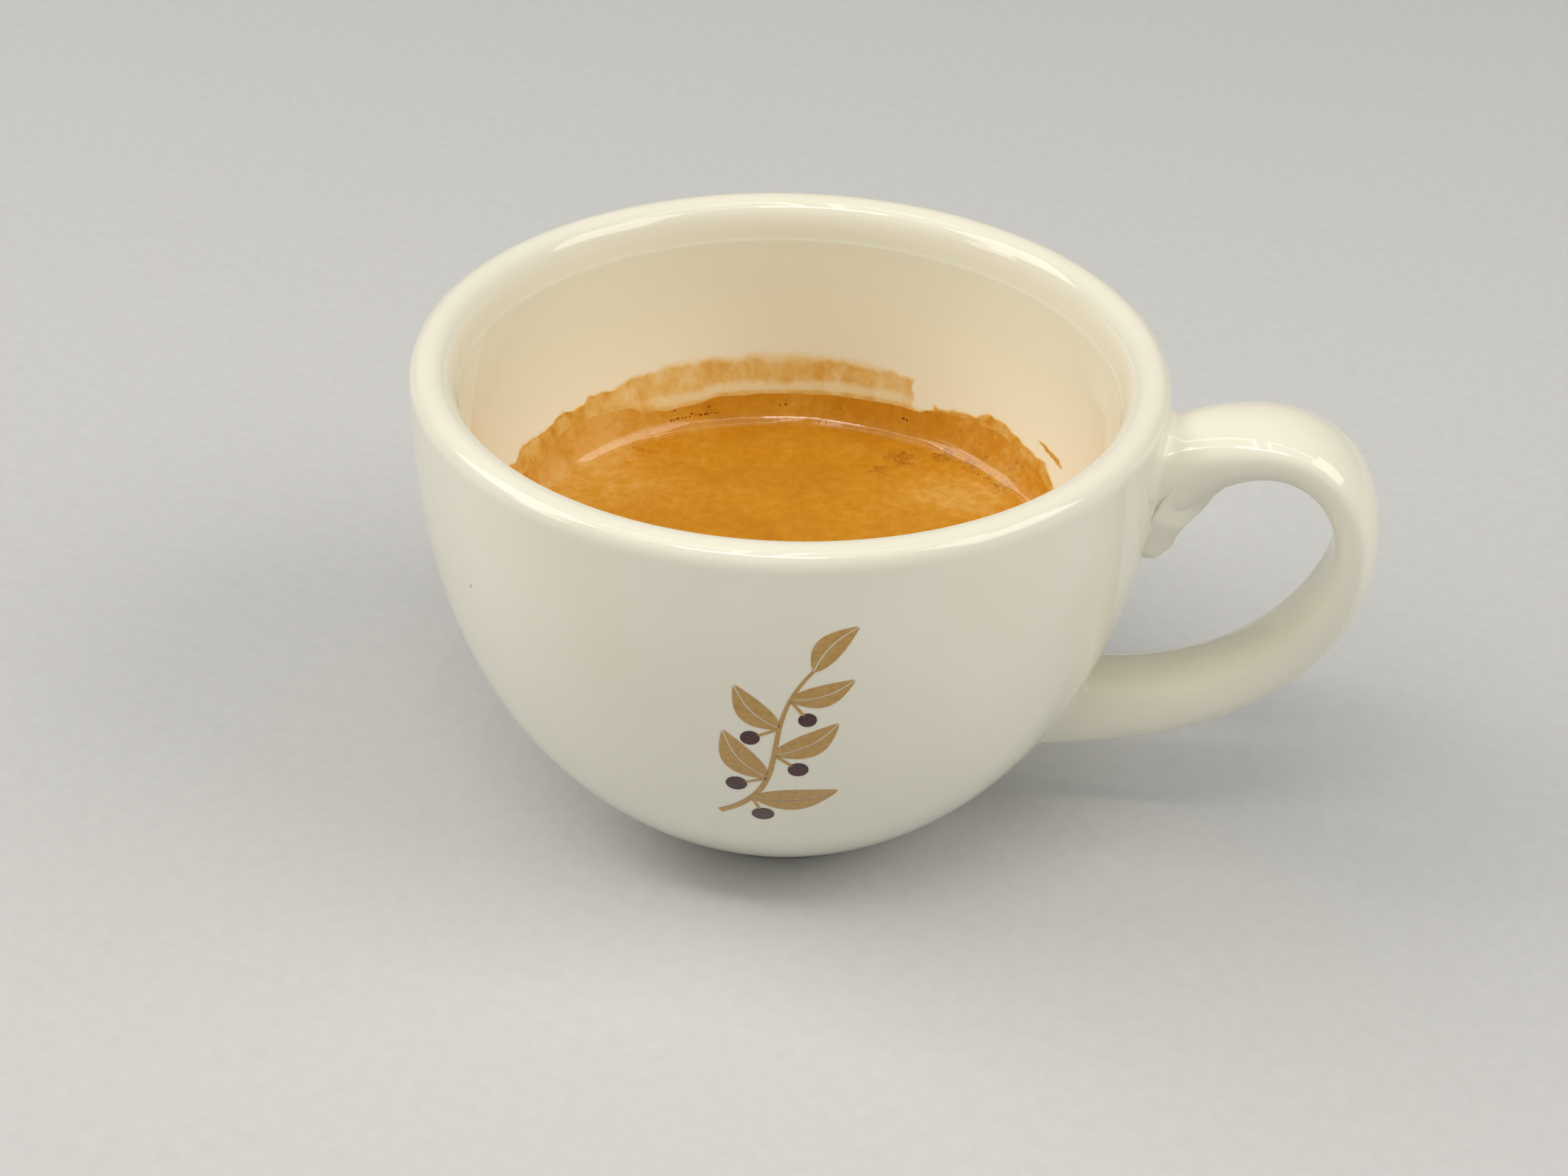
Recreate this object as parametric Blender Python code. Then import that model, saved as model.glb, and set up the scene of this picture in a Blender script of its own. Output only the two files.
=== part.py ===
# A single espresso in a thick-walled glazed cup with an ear handle.
# Metres, +Z up. The cup stands on z = 0, the handle points to +X, and the origin is the middle of the whole
# object's base, so the cup's own axis lies a little to the -X side of it.

import math

import bmesh
import bpy
from mathutils import Matrix

MM = 0.001

# Cup body: heights are above the table, radii are from the cup's axis.
CUP_HEIGHT = 46.0 * MM
RIM_RADIUS = 33.0 * MM
LIP_WIDTH = 4.0 * MM
LIP_OUTER_ROUND = 1.5 * MM
LIP_INNER_ROUND = 2.0 * MM
BELLY_PULL = (34.3 * MM, 14.4 * MM)
BELLY_START_PULL = 7.9 * MM
BOWL_END = (15.0 * MM, 1.1 * MM)
FLOOR_THICKNESS = 5.2 * MM
INNER_WALL_PULL = (29.4 * MM, 25.0 * MM)
INNER_FLOOR_PULL = 25.5 * MM

# Foot ring and the shallow hollow under the cup.
FOOT_RADIUS = 14.4 * MM
FOOT_EDGE_ROUND = 0.4 * MM
FOOT_WIDTH = 2.2 * MM
HOLLOW_DEPTH = 1.4 * MM
HOLLOW_SLOPE = 1.0 * MM

# Handle: two outlines in the XZ plane, in mm, each of two Bezier arcs that meet where the loop reaches
# furthest out. The first and last points are buried in the wall.
HANDLE_REACH = 52.1
HANDLE_OUTER_ARCS = (
    ((30.4, 41.7), (38.6, 48.0), (HANDLE_REACH, 47.3), (HANDLE_REACH, 32.9)),
    ((HANDLE_REACH, 32.9), (HANDLE_REACH, 25.8), (46.3, 11.5), (21.0, 7.8)),
)
HANDLE_INNER_REACH = 48.2
HANDLE_INNER_ARCS = (
    ((31.4, 29.1), (39.2, 46.6), (HANDLE_INNER_REACH, 40.7), (HANDLE_INNER_REACH, 33.7)),
    ((HANDLE_INNER_REACH, 33.7), (HANDLE_INNER_REACH, 29.1), (42.6, 16.2), (25.0, 16.9)),
)
HANDLE_ROOT_WIDTH = 8.8 * MM
HANDLE_MIDDLE_WIDTH = 9.8 * MM
HANDLE_LOWER_WIDTH = 8.3 * MM
HANDLE_SQUARENESS = 2.5

# The small lump of clay left under the handle's upper root, against the wall: middle and half sizes.
LUMP_MIDDLE = (33.0 * MM, 0.0, 33.5 * MM)
LUMP_HALF_SIZES = (2.4 * MM, 3.2 * MM, 3.0 * MM)

# Drink: a flat top of crema with a collar of foam that climbs the wall.
CREMA_HEIGHT = 23.3 * MM
COLLAR_HEIGHT = 26.2 * MM
COLLAR_WIDTH = 1.1 * MM
COLLAR_TOP_THICKNESS = 0.5 * MM
WALL_GAP = 0.3 * MM

# Fineness of the round shapes.
ROUND_STEPS = 64
BELLY_STEPS = 20
INNER_STEPS = 18
LIP_STEPS = 4
DRINK_WALL_STEPS = 12
COLLAR_STEPS = 5
HANDLE_ARC_STEPS = 13
HANDLE_SECTION_STEPS = 16
LUMP_STEPS = 12
MERGE_DISTANCE = 0.00002

# The cup's axis, so that the whole object's base is centred on the origin.
AXIS_X = -(HANDLE_REACH * MM - RIM_RADIUS) / 2


def bezier_point(arc, t):
    s = 1 - t
    weights = (s ** 3, 3 * s * s * t, 3 * s * t * t, t ** 3)
    return tuple(sum(w * point[axis] for w, point in zip(weights, arc)) for axis in (0, 1))


def bezier_points(arc, steps):
    return [bezier_point(arc, i / steps) for i in range(steps + 1)]


def round_corner(centre, radius, start, end, steps):
    """Points of an arc about a centre, from one angle to another, in degrees."""
    angles = [math.radians(start + (end - start) * i / steps) for i in range(steps + 1)]
    return [(centre[0] + radius * math.cos(a), centre[1] + radius * math.sin(a)) for a in angles]


def inner_wall(steps):
    """The inside of the bowl, from the middle of its floor up to the lip."""
    top = (RIM_RADIUS - LIP_WIDTH, CUP_HEIGHT - LIP_INNER_ROUND)
    arc = ((0.0, FLOOR_THICKNESS), (INNER_FLOOR_PULL, FLOOR_THICKNESS), INNER_WALL_PULL, top)
    return bezier_points(arc, steps)


def inner_wall_cut(height, gap):
    """The inner wall moved off it by a gap, from the middle of the floor up to a height."""
    fine = inner_wall(20 * INNER_STEPS)
    moved = []
    for before, after in zip(fine, fine[1:]):
        length = math.dist(before, after)
        across = ((before[1] - after[1]) / length, (after[0] - before[0]) / length)
        moved.append((before[0] + gap * across[0], before[1] + gap * across[1]))
    moved[0] = (0.0, FLOOR_THICKNESS + gap)
    below = [point for point in moved if point[1] <= height]
    spacing = (len(below) - 1) / DRINK_WALL_STEPS
    return [below[round(i * spacing)] for i in range(DRINK_WALL_STEPS + 1)]


def cup_profile():
    """Half of the cup's section, from the floor of the bowl over the lip to the middle of the underside."""
    inner_lip = (RIM_RADIUS - LIP_WIDTH + LIP_INNER_ROUND, CUP_HEIGHT - LIP_INNER_ROUND)
    outer_lip = (RIM_RADIUS - LIP_OUTER_ROUND, CUP_HEIGHT - LIP_OUTER_ROUND)
    lip = round_corner(inner_lip, LIP_INNER_ROUND, 180, 90, LIP_STEPS)[1:]
    lip += round_corner(outer_lip, LIP_OUTER_ROUND, 90, 0, LIP_STEPS)
    start = lip[-1]
    belly = bezier_points((start, (RIM_RADIUS, start[1] - BELLY_START_PULL), BELLY_PULL, BOWL_END), BELLY_STEPS)
    foot_edge = (FOOT_RADIUS - FOOT_EDGE_ROUND, FOOT_EDGE_ROUND)
    foot = round_corner(foot_edge, FOOT_EDGE_ROUND, 0, -90, 2)
    foot_inside = FOOT_RADIUS - FOOT_WIDTH
    hollow = [(foot_inside, 0.0), (foot_inside - HOLLOW_SLOPE, HOLLOW_DEPTH), (0.0, HOLLOW_DEPTH)]
    return inner_wall(INNER_STEPS) + lip + belly[1:] + foot + hollow


def drink_profile():
    """Half of the drink's section, from the middle of its surface out to the wall and down to the floor."""
    wall = inner_wall_cut(COLLAR_HEIGHT, WALL_GAP)
    wall_radius, top_height = wall[-1]
    inner_edge = wall_radius - COLLAR_TOP_THICKNESS
    start = inner_edge - COLLAR_WIDTH
    arc = ((start, CREMA_HEIGHT), (inner_edge - 0.3 * COLLAR_WIDTH, CREMA_HEIGHT),
           (inner_edge, CREMA_HEIGHT + 0.4 * (top_height - CREMA_HEIGHT)), (inner_edge, top_height))
    return [(0.0, CREMA_HEIGHT)] + bezier_points(arc, COLLAR_STEPS) + wall[::-1]


def turned(name, profile):
    """A solid of revolution about the cup's axis."""
    mesh = bpy.data.meshes.new(name)
    points = [(radius, 0.0, height) for radius, height in profile]
    mesh.from_pydata(points, [(i, i + 1) for i in range(len(points) - 1)], [])
    turned_object = bpy.data.objects.new(name, mesh)
    turned_object.location.x = AXIS_X
    bpy.context.collection.objects.link(turned_object)
    screw = turned_object.modifiers.new("turn", "SCREW")
    screw.steps = ROUND_STEPS
    screw.render_steps = ROUND_STEPS
    screw.use_merge_vertices = True
    screw.merge_threshold = MERGE_DISTANCE
    screw.use_smooth_shade = True
    return turned_object


def handle_stations():
    """For each step round the loop: a point on the outer outline, one on the inner, and half the width."""
    stations = []
    widths = (HANDLE_ROOT_WIDTH, HANDLE_MIDDLE_WIDTH, HANDLE_LOWER_WIDTH)
    for half in (0, 1):
        for i in range(half, HANDLE_ARC_STEPS + 1):
            t = i / HANDLE_ARC_STEPS
            outer = bezier_point(HANDLE_OUTER_ARCS[half], t)
            inner = bezier_point(HANDLE_INNER_ARCS[half], t)
            blend = t * t * (3 - 2 * t)
            width = widths[half] + (widths[half + 1] - widths[half]) * blend
            stations.append((outer, inner, width / 2))
    return stations


def rounded(value):
    """A cosine or a sine pushed out towards a box, for a section between an ellipse and a rectangle."""
    return math.copysign(abs(value) ** (2 / HANDLE_SQUARENESS), value)


def handle_ring(outer, inner, half_width):
    centre = [(a + b) / 2 * MM for a, b in zip(outer, inner)]
    half = [(a - b) / 2 * MM for a, b in zip(outer, inner)]
    ring = []
    for i in range(HANDLE_SECTION_STEPS):
        angle = 2 * math.pi * i / HANDLE_SECTION_STEPS
        across, along = rounded(math.cos(angle)), rounded(math.sin(angle))
        ring.append((centre[0] + half[0] * along, half_width * across, centre[1] + half[1] * along))
    return ring


def make_handle():
    rings = [handle_ring(*station) for station in handle_stations()]
    count = HANDLE_SECTION_STEPS
    faces = [tuple(range(count)), tuple(reversed(range((len(rings) - 1) * count, len(rings) * count)))]
    for i in range(len(rings) - 1):
        for j in range(count):
            a, b = i * count + j, i * count + (j + 1) % count
            faces.append((a, a + count, b + count, b))
    mesh = bpy.data.meshes.new("handle")
    mesh.from_pydata([point for ring in rings for point in ring], [], faces)
    return as_helper("handle", mesh)


def make_lump():
    mesh = bpy.data.meshes.new("lump")
    shape = bmesh.new()
    size = Matrix.Diagonal((*LUMP_HALF_SIZES, 1.0))
    bmesh.ops.create_uvsphere(shape, u_segments=LUMP_STEPS, v_segments=LUMP_STEPS // 2, radius=1.0,
                              matrix=Matrix.Translation(LUMP_MIDDLE) @ size)
    shape.to_mesh(mesh)
    shape.free()
    return as_helper("lump", mesh)


def as_helper(name, mesh):
    """An object that is only joined into another, about the cup's axis as that one is."""
    helper = bpy.data.objects.new(name, mesh)
    helper.location.x = AXIS_X
    helper.hide_render = True
    helper.display_type = "WIRE"
    bpy.context.collection.objects.link(helper)
    return helper


def join(body, helper):
    union = body.modifiers.new(helper.name + "_join", "BOOLEAN")
    union.operation = "UNION"
    union.solver = "EXACT"
    union.object = helper


def linear(value):
    return value / 12.92 if value <= 0.04045 else ((value + 0.055) / 1.055) ** 2.4


def make_material(name, colour, roughness, coat):
    material = bpy.data.materials.new(name)
    material.use_nodes = True
    shader = material.node_tree.nodes["Principled BSDF"]
    rgb = [linear(int(colour[i:i + 2], 16) / 255) for i in (0, 2, 4)]
    shader.inputs["Base Color"].default_value = (*rgb, 1.0)
    shader.inputs["Metallic"].default_value = 0.0
    shader.inputs["Roughness"].default_value = roughness
    shader.inputs["Coat Weight"].default_value = coat
    return material


def make_cup():
    """The fired body: turned bowl, lip and foot ring, with the handle grown into the wall."""
    cup = turned("cup", cup_profile())
    join(cup, make_handle())
    join(cup, make_lump())
    cup.data.materials.append(make_material("glazed_porcelain", "F4EEDC", 0.12, 0.5))
    return cup


def make_drink():
    """The coffee up to the level of its crema, with the collar of foam on the wall."""
    drink = turned("espresso", drink_profile())
    drink.data.materials.append(make_material("espresso_crema", "CC8430", 0.35, 0.2))
    return drink


def main():
    for old in list(bpy.data.objects):
        bpy.data.objects.remove(old, do_unlink=True)
    make_cup()
    make_drink()


main()
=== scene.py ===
import math
import random

import bmesh
import bpy
from mathutils import Matrix, Vector, noise
from mathutils.bvhtree import BVHTree


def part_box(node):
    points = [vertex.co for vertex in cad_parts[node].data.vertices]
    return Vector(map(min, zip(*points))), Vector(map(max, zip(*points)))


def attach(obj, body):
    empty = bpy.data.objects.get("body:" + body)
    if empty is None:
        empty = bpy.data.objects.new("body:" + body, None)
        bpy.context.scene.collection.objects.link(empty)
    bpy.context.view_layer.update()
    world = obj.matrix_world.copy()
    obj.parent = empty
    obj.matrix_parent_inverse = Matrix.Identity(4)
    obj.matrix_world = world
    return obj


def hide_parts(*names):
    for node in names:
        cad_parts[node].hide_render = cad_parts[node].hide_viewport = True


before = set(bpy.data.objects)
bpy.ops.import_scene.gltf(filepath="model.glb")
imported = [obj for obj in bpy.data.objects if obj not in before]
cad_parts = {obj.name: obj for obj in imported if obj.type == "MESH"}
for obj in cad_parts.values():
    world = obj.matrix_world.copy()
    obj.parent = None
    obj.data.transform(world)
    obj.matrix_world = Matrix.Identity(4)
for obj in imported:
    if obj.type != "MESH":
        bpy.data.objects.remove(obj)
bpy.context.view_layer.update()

mm = 0.001
drinkLow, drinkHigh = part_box("espresso")
axisX = (drinkLow.x + drinkHigh.x) / 2  # the drink is round, so its middle is the cup's axis


def deselectAll():
    if bpy.context.object and bpy.context.object.mode == "EDIT":
        bpy.ops.object.mode_set(mode="OBJECT")
    bpy.ops.object.select_all(action="DESELECT")


def makeActive(piece):
    deselectAll()
    piece.select_set(True)
    bpy.context.view_layer.objects.active = piece


def applyModifier(piece, kind, **settings):
    makeActive(piece)
    modifier = piece.modifiers.new(kind.lower(), kind)
    for key, value in settings.items():
        setattr(modifier, key, value)
    bpy.ops.object.modifier_apply(modifier=modifier.name)


def bezier(arc, t):
    s = 1 - t
    weights = (s ** 3, 3 * s * s * t, 3 * s * t * t, t ** 3)
    return tuple(sum(w * p[i] for w, p in zip(weights, arc)) for i in (0, 1))


def smoothStep(low, high, value):
    t = min(max((value - low) / (high - low), 0.0), 1.0)
    return t * t * (3 - 2 * t)


def spaced(start, end, steps):
    return [start + (end - start) * i / steps for i in range(1, steps + 1)]


def readCurve(points, x):
    # A value on a smooth line through named points, flat past its ends
    if x <= points[0][0]:
        return points[0][1]
    for before, after in zip(points, points[1:]):
        if x <= after[0]:
            return before[1] + (after[1] - before[1]) * smoothStep(before[0], after[0], x)
    return points[-1][1]


def grain(spot, size, seed=0.0):
    # Smooth noise from -1 to 1 with features of a size in mm
    return noise.noise(spot / (size * mm) + Vector((seed, 2.7 * seed, -1.3 * seed)))


def aroundAxis(azimuth, radius, height):
    # A place from degrees round the cup (0 is the handle), and mm out and up
    turn = math.radians(azimuth)
    return Vector((axisX + radius * mm * math.cos(turn), radius * mm * math.sin(turn), height * mm))


def azimuthOf(spot):
    return math.degrees(math.atan2(spot.y, spot.x - axisX))


def radiusOf(spot):
    return math.hypot(spot.x - axisX, spot.y) / mm


def linear(hexText):
    # An sRGB hex colour as linear light
    parts = [int(hexText[i:i + 2], 16) / 255 for i in (0, 2, 4)]
    return tuple(p / 12.92 if p <= 0.04045 else ((p + 0.055) / 1.055) ** 2.4 for p in parts) + (1.0,)


def addNode(material, kind, inputs={}, links={}, stops=(), **settings):
    # Adds a node with its properties, its input values and its links, each (node, output); a colour ramp's
    # stops are each (position, hex)
    tree = material.node_tree
    node = tree.nodes.new(kind)
    for key, value in settings.items():
        setattr(node, key, value)
    for key, value in inputs.items():
        node.inputs[key].default_value = value
    for key, (source, output) in links.items():
        tree.links.new(source.outputs[output], node.inputs[key])
    if stops:
        elements = node.color_ramp.elements
        while len(elements) < len(stops):
            elements.new(0.5)
        for element, (position, hexText) in zip(elements, stops):
            element.position = position
            element.color = linear(hexText)
    return node


def newMaterial(name):
    # An empty material, and the link that lays its patterns on the piece, with their middle on the cup's axis
    material = bpy.data.materials.new(name)
    material.use_nodes = True
    material.node_tree.nodes.clear()
    place = addNode(material, "ShaderNodeTexCoord")
    mapping = addNode(material, "ShaderNodeMapping", {"Location": (-axisX, 0, 0)},
                      {"Vector": (place, "Object")})
    return material, {"Vector": (mapping, 0)}


def perMm(size):
    return 1 / (size * mm)


# Camera: where the photo's own stands, from the middle of the rim, in mm and degrees
photoCamera = {
    "lens": 53.7,
    "back": 179.7,
    "above": 97.1,
    "left": 0.05,
    "turn": 11.6,
    "pitch": 34.26,
    "roll": 1.61,
}

# Studio: two softboxes hang side by side over the cup, each with a brighter tube along its rim, which the
# glaze shows as thin outlined highlights, and a bar lamp hangs in front of them. Panels light it from both
# sides and draw the bright lines on the wet foam, and a weaker window stands at the front left. Places and
# sizes in metres
studio = {
    "floorSize": 3.0,
    "softboxes": ((-0.33, -0.16, 0.80), (0.28, -0.16, 0.80)),
    "softboxSize": (0.50, 0.36),
    "softboxBrightness": 0.5,
    "tubeWidth": 0.03,
    "tubeDrop": 0.01,
    "tubeBrightness": 5.4,
    "bar": (-0.03, -0.40, 0.80),
    "barSize": (0.46, 0.07),
    "barBrightness": 13.0,
    "panels": ((-0.80, -0.10, 0.70), (0.80, -0.06, 0.70)),
    "panelSize": (0.68, 0.5),
    "panelBrightness": 3.7,
    "window": (-0.80, -0.42, 0.40),
    "windowSize": (0.30, 0.25),
    "windowBrightness": 3.0,
    "aimHeight": 0.035,
    "lampColour": "FFFAF0",
    "room": 0.23,
    "roomColour": "FBFBF7",
    "floorColours": ("CBCCCE", "CFD0D2"),
}


def makeCamera():
    data = bpy.data.cameras.new("photo_camera")
    data.lens = photoCamera["lens"]
    data.sensor_width = 36.0
    data.clip_start = 0.01
    camera = bpy.data.objects.new("photo_camera", data)
    bpy.context.scene.collection.objects.link(camera)
    turn = Matrix.Rotation(math.radians(photoCamera["turn"]), 4, "Z")
    place = Vector((-photoCamera["left"], -photoCamera["back"], photoCamera["above"])) * mm
    rim = Vector((axisX, 0, cupShape["height"] * mm))
    tilt = Matrix.Rotation(math.radians(90 - photoCamera["pitch"]), 4, "X")
    roll = Matrix.Rotation(math.radians(photoCamera["roll"]), 4, "Z")
    camera.matrix_world = Matrix.Translation(rim + turn @ place) @ turn @ tilt @ roll
    bpy.context.scene.camera = camera


def makeFloor():
    deselectAll()
    bpy.ops.mesh.primitive_plane_add(size=studio["floorSize"], location=(0, 0, 0))
    floor = bpy.context.object
    floor.name = "floor"
    # Matt paper: no shine, so only the cup's soft shadow shows on it
    paper, onPiece = newMaterial("matt_paper")
    fibre = addNode(paper, "ShaderNodeTexNoise", {"Scale": perMm(1.5), "Detail": 3.0}, onPiece)
    tint = addNode(paper, "ShaderNodeValToRGB", links={"Fac": (fibre, "Fac")},
                   stops=((0.3, studio["floorColours"][0]), (0.7, studio["floorColours"][1])))
    shader = addNode(paper, "ShaderNodeBsdfPrincipled", {"Roughness": 0.9, "Specular IOR Level": 0.1},
                     {"Base Color": (tint, "Color")})
    addNode(paper, "ShaderNodeOutputMaterial", links={"Surface": (shader, "BSDF")})
    floor.data.materials.append(paper)


def addLamp(name, place, size, brightness, aim):
    data = bpy.data.lights.new(name, "AREA")
    data.shape = "RECTANGLE"
    data.size, data.size_y = size
    data.energy = brightness * math.pi * size[0] * size[1]
    data.color = linear(studio["lampColour"])[:3]
    lamp = bpy.data.objects.new(name, data)
    lamp.location = place
    lamp.rotation_euler = aim.to_track_quat("-Z", "Y").to_euler()
    bpy.context.scene.collection.objects.link(lamp)


def makeLights():
    down = Vector((0, 0, -1))
    width, depth = studio["softboxSize"]
    tube = studio["tubeWidth"]
    for number, (x, y, z) in enumerate(studio["softboxes"]):
        addLamp("softbox_%d" % number, (x, y, z), (width, depth), studio["softboxBrightness"], down)
        for side in (-1, 1):
            place = (x + side * width / 2, y, z - studio["tubeDrop"])
            addLamp("tube_%d_across" % number, place, (tube, depth), studio["tubeBrightness"], down)
            place = (x, y + side * depth / 2, z - studio["tubeDrop"])
            addLamp("tube_%d_along" % number, place, (width, tube), studio["tubeBrightness"], down)
    cupMiddle = Vector((axisX, 0, studio["aimHeight"]))
    addLamp("bar", studio["bar"], studio["barSize"], studio["barBrightness"], down)
    for number, place in enumerate(studio["panels"]):
        addLamp("side_panel_%d" % number, place, studio["panelSize"], studio["panelBrightness"],
                cupMiddle - Vector(place))
    addLamp("window", studio["window"], studio["windowSize"], studio["windowBrightness"],
            cupMiddle - Vector(studio["window"]))
    world = bpy.data.worlds.new("soft_room")
    bpy.context.scene.world = world
    world.use_nodes = True
    room = world.node_tree.nodes["Background"]
    room.inputs["Color"].default_value = linear(studio["roomColour"])
    room.inputs["Strength"].default_value = studio["room"]
    bpy.context.scene.view_settings.view_transform = "Standard"


# Cup body, in mm: a radius from the axis and a height above the table for each point. The painted light that
# makes the bowl's inner wall lighter fades out over bowlLightEdge, counted outwards from the inner wall, and
# loses bowlLightLoss up the heights of bowlLightFade
cupShape = {
    "height": 46.0,
    "rimRadius": 33.0,
    "innerWall": ((0.0, 5.2), (25.5, 5.2), (29.4, 25.0), (29.0, 43.7)),
    "creaseHeight": 42.1,
    "crease": ((29.035, 42.25), (29.055, 42.38), (29.07, 42.52)),
    "innerLip": ((29.07, 42.52), (29.12, 44.4), (29.75, 46.0), (31.4, 46.0)),
    "lipRound": 1.5,
    "belly": ((33.0, 44.5), (33.0, 36.6), (34.3, 14.4), (15.0, 1.1)),
    "footRadius": 14.4,
    "footRound": 0.4,
    "footWidth": 2.2,
    "hollowDepth": 1.4,
    "bowlLightEdge": (0.4, 2.6),
    "bowlLightFade": (42.0, 44.5),
    "bowlLightLoss": 0.8,
    "segments": 120,
}

# Where the handle grows out of the wall: rows of faces between two heights, and columns round the cup
handleRoots = (
    {"top": 44.2, "bottom": 32.4, "rows": 8, "columns": 6},
    {"top": 18.4, "bottom": 6.6, "rows": 6, "columns": 8},
)

# Handle: the loop's outer and inner outlines, each two arcs that meet where it reaches furthest out
handleShape = {
    "outer": (((30.4, 41.7), (38.6, 48.0), (52.1, 47.3), (52.1, 32.9)),
              ((52.1, 32.9), (52.1, 25.8), (46.3, 11.5), (21.0, 7.8))),
    "inner": (((31.4, 29.1), (39.2, 46.6), (48.2, 40.7), (48.2, 33.7)),
              ((48.2, 33.7), (48.2, 29.1), (42.6, 16.2), (25.0, 16.9))),
    "widths": (8.8, 9.8, 8.3),
    "outerSquareness": 2.05,
    "innerSquareness": 2.9,
    "widest": 0.42,
    "start": 0.14,
    "end": 0.92,
    "stations": 26,
}

# The tongue of clay left under the upper root: it carries the handle's inner face on down the wall and ends
# in a blunt tip, pressed into soft facets. In mm from the axis and up: its outline in the handle's own plane,
# a line buried under it, and its half width along the way
tongueShape = {
    "outline": ((31.9, 31.2), (32.8, 30.95), (33.7, 31.1), (34.3, 31.8), (34.85, 32.8), (35.4, 33.9),
                (36.0, 35.1), (36.7, 36.3), (37.5, 37.5), (38.4, 38.65), (39.3, 39.95), (40.1, 41.4)),
    "buried": ((31.5, 31.2), (31.6, 31.9), (31.7, 32.7), (31.8, 33.5), (31.9, 34.4), (32.1, 35.3),
               (32.5, 36.4), (33.0, 37.7), (33.7, 39.1), (34.7, 40.5), (36.2, 41.8), (38.0, 43.0)),
    "halfWidths": (3.0, 3.5, 4.0, 4.4, 4.7, 4.85, 4.9, 4.8, 4.6, 4.4, 4.1, 3.7),
    "squareness": 3.4,
    "facets": (9, 6),
    "stray": (0.35, 0.12),
    "jitter": 0.26,
    "thickness": 0.2,
}


def heightToRadius(arc, height, rising):
    # Where a wall's arc passes a height, by halving
    low, high = 0.0, 1.0
    for _ in range(30):
        middle = (low + high) / 2
        if (bezier(arc, middle)[1] < height) == rising:
            low = middle
        else:
            high = middle
    return bezier(arc, low)[0]


def outerRadius(height):
    return heightToRadius(cupShape["belly"], height, False)


def innerRadius(height):
    return heightToRadius(cupShape["innerWall"], height, True)


def cupOutline():
    # From the middle of the bowl's floor, over the lip, to the middle underneath. A fine crease of glaze runs
    # round the inside, where the lip's slope meets the wall
    shape = cupShape
    points = [bezier(shape["innerWall"], i / 18) for i in range(17)]
    points += [(innerRadius(height), height) for height in (41.2, 41.8, shape["creaseHeight"])]
    points += list(shape["crease"]) + [bezier(shape["innerLip"], i / 8) for i in range(1, 9)]
    lipMiddle = (shape["rimRadius"] - shape["lipRound"], shape["height"] - shape["lipRound"])
    for angle in spaced(90, 0, 5):
        turn = math.radians(angle)
        points.append((lipMiddle[0] + shape["lipRound"] * math.cos(turn),
                       lipMiddle[1] + shape["lipRound"] * math.sin(turn)))
    upper, lower = handleRoots
    heights = [upper["top"]] + spaced(upper["top"], upper["bottom"], upper["rows"])
    heights += spaced(upper["bottom"], lower["top"], 6)
    heights += spaced(lower["top"], lower["bottom"], lower["rows"])
    heights += spaced(lower["bottom"], shape["belly"][3][1], 3)
    points += [(outerRadius(height), height) for height in heights]
    foot = shape["footRadius"] - shape["footRound"]
    for angle in (0, -30, -60, -90):
        turn = math.radians(angle)
        points.append((foot + shape["footRound"] * math.cos(turn),
                       shape["footRound"] + shape["footRound"] * math.sin(turn)))
    inside = shape["footRadius"] - shape["footWidth"]
    points += [(inside + 0.4, 0.0), (inside, 0.12), (inside - 0.4, 0.6), (inside - 0.9, 1.15),
               (inside - 1.6, shape["hollowDepth"]), (6.0, shape["hollowDepth"]), (0.0, shape["hollowDepth"])]
    return points


def drawOutline(points):
    # One point, extruded along the section; it leaves the outline selected in edit mode
    deselectAll()
    bpy.ops.mesh.primitive_plane_add(size=mm, location=(axisX + points[0][0] * mm, 0, points[0][1] * mm))
    bpy.ops.object.transform_apply(location=True)
    bpy.ops.object.mode_set(mode="EDIT")
    bpy.ops.mesh.merge(type="CENTER")
    for before, after in zip(points, points[1:]):
        step = ((after[0] - before[0]) * mm, 0, (after[1] - before[1]) * mm)
        bpy.ops.mesh.extrude_region_move(TRANSFORM_OT_translate={"value": step})
    bpy.ops.mesh.select_all(action="SELECT")


def spinOutline(points, segments):
    # A turned piece in edit mode, with its seam and its poles closed
    drawOutline(points)
    bpy.ops.mesh.spin(steps=segments, angle=2 * math.pi, center=(axisX, 0, 0), axis=(0, 0, 1))
    bpy.ops.mesh.select_all(action="SELECT")
    bpy.ops.mesh.remove_doubles(threshold=0.005 * mm)


def finishMesh():
    bpy.ops.mesh.select_all(action="SELECT")
    bpy.ops.mesh.normals_make_consistent(inside=False)
    bpy.ops.object.mode_set(mode="OBJECT")


def openWall(root):
    # Deletes the wall's faces where one end of the handle grows out, with the corners left in
    bpy.ops.mesh.select_all(action="DESELECT")
    cup = bpy.context.object
    mesh = bmesh.from_edit_mesh(cup.data)
    middle, halfHeight = (root["top"] + root["bottom"]) / 2, (root["top"] - root["bottom"]) / 2
    halfTurn = 180 / cupShape["segments"] * root["columns"]
    for face in mesh.faces:
        centre = face.calc_center_median()
        across = azimuthOf(centre) / halfTurn
        up = (centre.z / mm - middle) / halfHeight
        if across ** 4 + up ** 4 < 1 and radiusOf(centre) > outerRadius(centre.z / mm) - 0.6:
            face.select_set(True)
    bmesh.update_edit_mesh(cup.data)
    bpy.ops.mesh.delete(type="FACE")


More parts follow.
